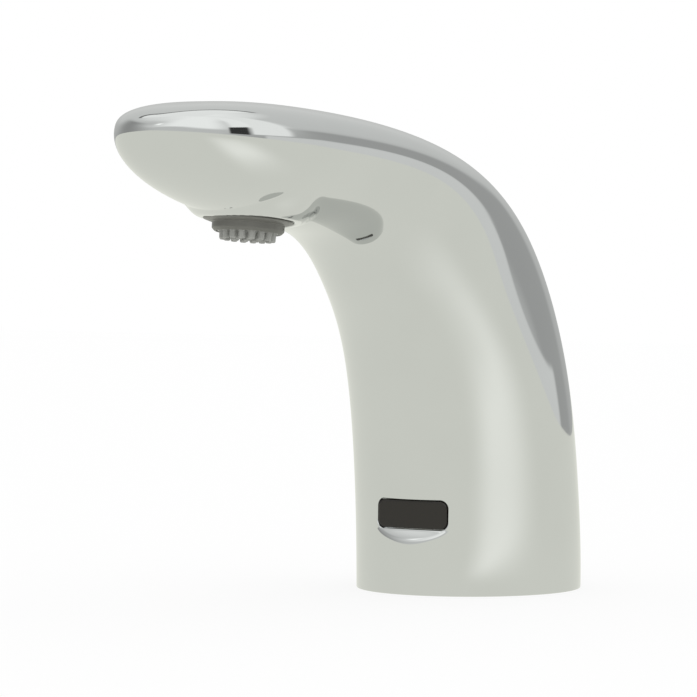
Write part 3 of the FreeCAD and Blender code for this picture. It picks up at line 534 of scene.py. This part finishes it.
def aeratorRing():
    # an outline down the thread, round the flange and the skirt and up the bore, turned round the axis
    bore, thread, skirt, ledge = (aerator[name] for name in ("bore", "thread", "skirt", "ledge"))
    top, under, foot = aerator["top"], -aerator["flangeEdge"], -aerator["skirtDrop"]
    outline = [(bore, top), (thread - 0.4, top)]
    for i in range(aerator["threadTurns"]):
        crest = top - 0.5 - aerator["pitch"] * i
        outline += [(thread, crest), (thread - aerator["threadDepth"], crest - aerator["pitch"] / 2)]
    outline += [(thread - 0.3, aerator["flangeTop"]), (aerator["flange"], aerator["flangeTop"]),
                (aerator["flange"], under), (skirt + 0.5, under - 0.55), (skirt, under - 0.6),
                (skirt, foot + 0.7), (skirt - 0.7, foot), (bore - 0.9, foot), (bore - 0.9, ledge),
                (bore, ledge), (bore, top)]
    points, faces = turnedGrid(roundedProfile(outline, aerator["rounding"]), aerator["sides"])
    return fromOutlet(points), [face[::-1] for face in faces]


def nozzlePlate():
    # a turned disc, and a turned tube repeated in two rings, the inner with half as many, and at the centre
    ledge, drop, radius = aerator["ledge"], -aerator["skirtDrop"], aerator["nozzle"]
    wide, edge = aerator["bore"] - 0.1, aerator["bore"] - 1.0
    disc = [(0, drop + 0.3), (edge - 0.5, drop + 0.3), (edge - 0.2, drop + 0.1), (edge, drop + 0.4),
            (edge, ledge + 0.05), (wide, ledge + 0.05), (wide, ledge + 1.0), (0, ledge + 1.0)]
    discPoints, discFaces = turnedGrid(disc, aerator["plateSides"])
    low, high = drop - aerator["nozzleLength"], drop + 0.35
    tube = [(0, low + 1.6), (0.42, low + 1.5), (0.45, low + 0.15), (0.55, low), (radius - 0.22, low),
            (radius - 0.06, low + 0.1), (radius, low + 0.35), (radius + 0.05, high - 0.4),
            (radius + 0.25, high)]
    tube = roundedProfile(tube, aerator["nozzleRounding"], 2)
    tubePoints, tubeFaces = turnedGrid(tube, aerator["nozzleSides"])
    count, ring = aerator["count"], aerator["nozzleRing"]
    rings = ((ring, count), (aerator["innerRing"] * ring, count // 2), (0, 1))
    turns = [i * 2 * math.pi / number for _, number in rings for i in range(number)]
    reach = np.array([circle for circle, number in rings for _ in range(number)])
    spots = np.stack([reach * np.cos(turns), reach * np.sin(turns), np.zeros(len(turns))], 1)
    allTubes = (tubePoints[None] + spots[:, None]).reshape(-1, 3)
    faces = list(discFaces)
    for i in range(len(spots)):
        start = len(discPoints) + i * len(tubePoints)
        faces += [[number + start for number in face] for face in tubeFaces]
    return fromOutlet(np.concatenate([discPoints, allTubes])), faces


ringPoints, ringFaces = aeratorRing()
ringPiece = makePiece("aeratorRing", ringPoints, ringFaces, "aerator", ["aerator_housing"],
                      finishes["olive_plastic"])
platePoints, plateFaces = nozzlePlate()
platePiece = makePiece("nozzlePlate", platePoints, plateFaces, "aerator", ["nozzle_plate"],
                       finishes["olive_silicone"])
print("aerator done")


# the pieces that stay as the solids made them take the finish of their slot
slotOf = {part["node"]: part["material_slot"] for part in frame["record"]["subparts"]}
for name, node in frame["nodes"].items():
    node.data.materials.clear()
    node.data.materials.append(finishes[slotOf[name]])


# camera, floor and light
camera = {"place": (0.6039, -0.9404, 0.1), "aim": (-0.0043, -0.0479, 0.062), "lens": 227.2}


def addCamera():
    # turned from its place so that it looks at the aim, level in x
    data = bpy.data.cameras.new("camera")
    data.lens = camera["lens"]
    data.sensor_width = 36
    data.clip_start = 0.01
    item = bpy.data.objects.new("camera", data)
    item.location = camera["place"]
    aim = np.array(camera["aim"]) - np.array(camera["place"])
    flat = math.hypot(aim[0], aim[1])
    item.rotation_euler = (math.pi / 2 + math.atan2(aim[2], flat), 0,
                           math.atan2(aim[1], aim[0]) - math.pi / 2)
    bpy.context.scene.collection.objects.link(item)
    bpy.context.scene.camera = item


# what the polished skin mirrors; azimuths are in degrees from the front towards +x
studio = {
    # brightness of the plain room, by the sine of the height
    "room": [(0.0, 0.42), (0.16, 0.50), (0.345, 0.60), (0.70, 0.62), (0.80, 0.80), (0.97, 0.95)],
    # panels, each over those before it: middle azimuth, half width and softness of the sides in degrees,
    # lower edge, upper edge and their softness as sines of the height, brightness
    "panels": {
        "frontWall": (20, 62, 50, -1, 0.24, 0.16, 0.58),
        "frontLight": (22, 52, 60, 0.24, 2, 0.14, 0.98),
        "sideLight": (108, 26, 14, 0.30, 2, 0.12, 0.95),
        "leftWall": (-72, 20, 44, -1, 0.60, 0.22, 0.30),
        "leftLight": (-36, 3, 10, 0.45, 0.60, 0.08, 1.2),
        "backShade": (156, 18, 14, -1, 0.24, 0.10, 0.37),
        "cornerLight": (120, 13, 5, 0.07, 2, 0.03, 0.90),
        "blackBar": (91.5, 12, 6, 0.045, 0.315, 0.035, 0.04),
        "backCeiling": (-134, 38, 8, 0.74, 2, 0.02, 0.90),
        "ceilingEdge": (-134, 38, 8, 0.71, 0.74, 0.015, 0.16),
        "farFloor": (134, 17, 5, -1, 0.05, 0.02, 0.665),
    },
    "strength": 1.21, "tone": (0.985, 1.0, 0.98),    # of room, panels and floor; colour of room and panels
    "floor": (0.690, 0.700, 0.640),     # plain floor in the chrome
    "floorGlow": 0.22,                  # how much brighter it is in a lane towards the front right
    "laneAzimuth": 55, "laneLeft": 34, "laneRight": 54, "laneStart": (0.04, 0.2), "laneReach": 0.8,
    "floorReach": 1.5, "floorEdge": 0.12, "floorSides": 96,    # radius of the flat, height of its edge
    "floorLit": 0.8,       # share of plain white the camera sees, the rest takes the shadow
    "floorWhite": 0.98,
}


def mixed(nodes, links, share, first, second):
    # first where share is 0, second where it is 1; either is a colour or a socket
    mix = nodes.new("ShaderNodeMix")
    mix.data_type = "RGBA"
    links.new(share, mix.inputs["Factor"])
    for name, colour in (("A", first), ("B", second)):
        if isinstance(colour, tuple):
            mix.inputs[name].default_value = (*colour, 1)
        else:
            links.new(colour, mix.inputs[name])
    return mix.outputs["Result"]


def easing(nodes, links, value, low, high, first=0.0, last=1.0):
    # goes smoothly from first to last while the value goes from low to high
    way = nodes.new("ShaderNodeMapRange")
    way.interpolation_type = "SMOOTHERSTEP"
    way.inputs["From Min"].default_value, way.inputs["From Max"].default_value = low, high
    way.inputs["To Min"].default_value, way.inputs["To Max"].default_value = first, last
    links.new(value, way.inputs["Value"])
    return way.outputs["Result"]


def product(nodes, links, first, second):
    # one value times the other
    times = nodes.new("ShaderNodeMath")
    times.operation = "MULTIPLY"
    links.new(first, times.inputs[0])
    links.new(second, times.inputs[1])
    return times.outputs[0]


def band(nodes, links, value, low, high, soft):
    # 1 between low and high, with each edge softened over the same width
    return product(nodes, links, easing(nodes, links, value, low - soft / 2, low + soft / 2),
                   easing(nodes, links, value, high - soft / 2, high + soft / 2, 1, 0))


def azimuthOf(nodes, links, split):
    # 0 at the front (-y), growing towards +x: the angle of (x, -y)
    ahead = nodes.new("ShaderNodeMath")
    ahead.operation = "MULTIPLY"
    ahead.inputs[1].default_value = -1
    links.new(split.outputs["Y"], ahead.inputs[0])
    turn = nodes.new("ShaderNodeMath")
    turn.operation = "ARCTAN2"
    links.new(split.outputs["X"], turn.inputs[0])
    links.new(ahead.outputs[0], turn.inputs[1])
    return turn.outputs[0]


def laneShare(nodes, links, place):
    # a bright lane on the floor: full along its azimuth, and 0 beside it, at its reach and at the foot
    split = nodes.new("ShaderNodeSeparateXYZ")
    links.new(place, split.inputs[0])
    azimuth = azimuthOf(nodes, links, split)
    length = nodes.new("ShaderNodeVectorMath")
    length.operation = "LENGTH"
    links.new(place, length.inputs[0])
    away = length.outputs["Value"]
    middle, left, right = (math.radians(studio[name]) for name in ("laneAzimuth", "laneLeft", "laneRight"))
    along = product(nodes, links, easing(nodes, links, away, *studio["laneStart"]),
                    easing(nodes, links, away, 0, studio["laneReach"], 1, 0))
    across = product(nodes, links, easing(nodes, links, azimuth, middle - left, middle),
                     easing(nodes, links, azimuth, middle, middle + right, 1, 0))
    return product(nodes, links, along, across)


def addFloor():
    # round and flat, with an edge that curves up by a quarter round at the front and stays flat at the back
    steps = np.radians(np.arange(0, 91, 15))
    bend = studio["floorEdge"]
    profile = np.stack([studio["floorReach"] + bend * np.sin(steps), bend * (1 - np.cos(steps))], 1)
    points, faces = turnedGrid(np.concatenate([[(0, 0)], profile]), studio["floorSides"])
    points[:, 2] *= 0.5 - 0.5 * points[:, 1] / np.maximum(np.hypot(points[:, 0], points[:, 1]), 1e-6)
    mesh = bpy.data.meshes.new("floor")
    mesh.from_pydata(points.tolist(), [], faces)
    mesh.shade_smooth()
    material = bpy.data.materials.new("floorWhite")
    material.use_nodes = True
    nodes, links = material.node_tree.nodes, material.node_tree.links
    nodes.remove(nodes["Principled BSDF"])
    place = nodes.new("ShaderNodeTexCoord").outputs["Object"]
    diffuse = nodes.new("ShaderNodeBsdfDiffuse")
    diffuse.inputs["Color"].default_value = (*[studio["floorWhite"]] * 3, 1)
    path = nodes.new("ShaderNodeLightPath")
    tone = tuple(value * studio["strength"] for value in studio["floor"])
    bright = tuple(value + studio["floorGlow"] * studio["strength"] for value in tone)
    lit = mixed(nodes, links, laneShare(nodes, links, place), tone, bright)
    glow = nodes.new("ShaderNodeEmission")
    links.new(mixed(nodes, links, path.outputs["Is Camera Ray"], lit, (1, 1, 1)), glow.inputs["Color"])
    share = nodes.new("ShaderNodeMath")
    share.operation = "MULTIPLY_ADD"
    share.use_clamp = True
    share.inputs[1].default_value = studio["floorLit"]
    seen = nodes.new("ShaderNodeMath")
    links.new(path.outputs["Is Glossy Ray"], seen.inputs[0])
    links.new(path.outputs["Is Transmission Ray"], seen.inputs[1])
    links.new(path.outputs["Is Camera Ray"], share.inputs[0])
    links.new(seen.outputs[0], share.inputs[2])
    mix = nodes.new("ShaderNodeMixShader")
    links.new(share.outputs[0], mix.inputs["Fac"])
    links.new(diffuse.outputs[0], mix.inputs[1])
    links.new(glow.outputs[0], mix.inputs[2])
    links.new(mix.outputs[0], nodes["Material Output"].inputs["Surface"])
    mesh.materials.append(material)
    floor = bpy.data.objects.new("floor", mesh)
    bpy.context.scene.collection.objects.link(floor)


def addWorld():
    # the room's brightness by height, with each panel mixed in where its two bands cross
    world = bpy.data.worlds.new("studio")
    bpy.context.scene.world = world
    world.use_nodes = True
    nodes, links = world.node_tree.nodes, world.node_tree.links
    split = nodes.new("ShaderNodeSeparateXYZ")
    links.new(nodes.new("ShaderNodeTexCoord").outputs["Generated"], split.inputs[0])
    azimuth, height = azimuthOf(nodes, links, split), split.outputs["Z"]

    def tinted(brightness):
        return tuple(brightness * share * studio["strength"] for share in studio["tone"])

    colour = ramp(nodes, links, height, [(sine, tinted(brightness)) for sine, brightness in studio["room"]])
    for middle, half, soft, low, high, rise, brightness in studio["panels"].values():
        middle, half, soft = np.radians([middle, half, soft])
        near = nodes.new("ShaderNodeMath")     # the azimuth, taken within half a turn of the panel's middle
        near.operation = "WRAP"
        near.inputs[1].default_value, near.inputs[2].default_value = middle + np.pi, middle - np.pi
        links.new(azimuth, near.inputs[0])
        across = band(nodes, links, near.outputs[0], middle - half, middle + half, soft)
        share = product(nodes, links, across, band(nodes, links, height, low, high, rise))
        colour = mixed(nodes, links, share, colour, tinted(brightness))
    # the room's pattern shows in what is polished; the camera and the plain light see white
    path = nodes.new("ShaderNodeLightPath")
    links.new(mixed(nodes, links, path.outputs["Is Glossy Ray"], (1, 1, 1), colour),
              nodes["Background"].inputs["Color"])


addCamera()
addFloor()
addWorld()
bpy.context.scene.view_settings.view_transform = "Standard"
print("camera, floor and light set")
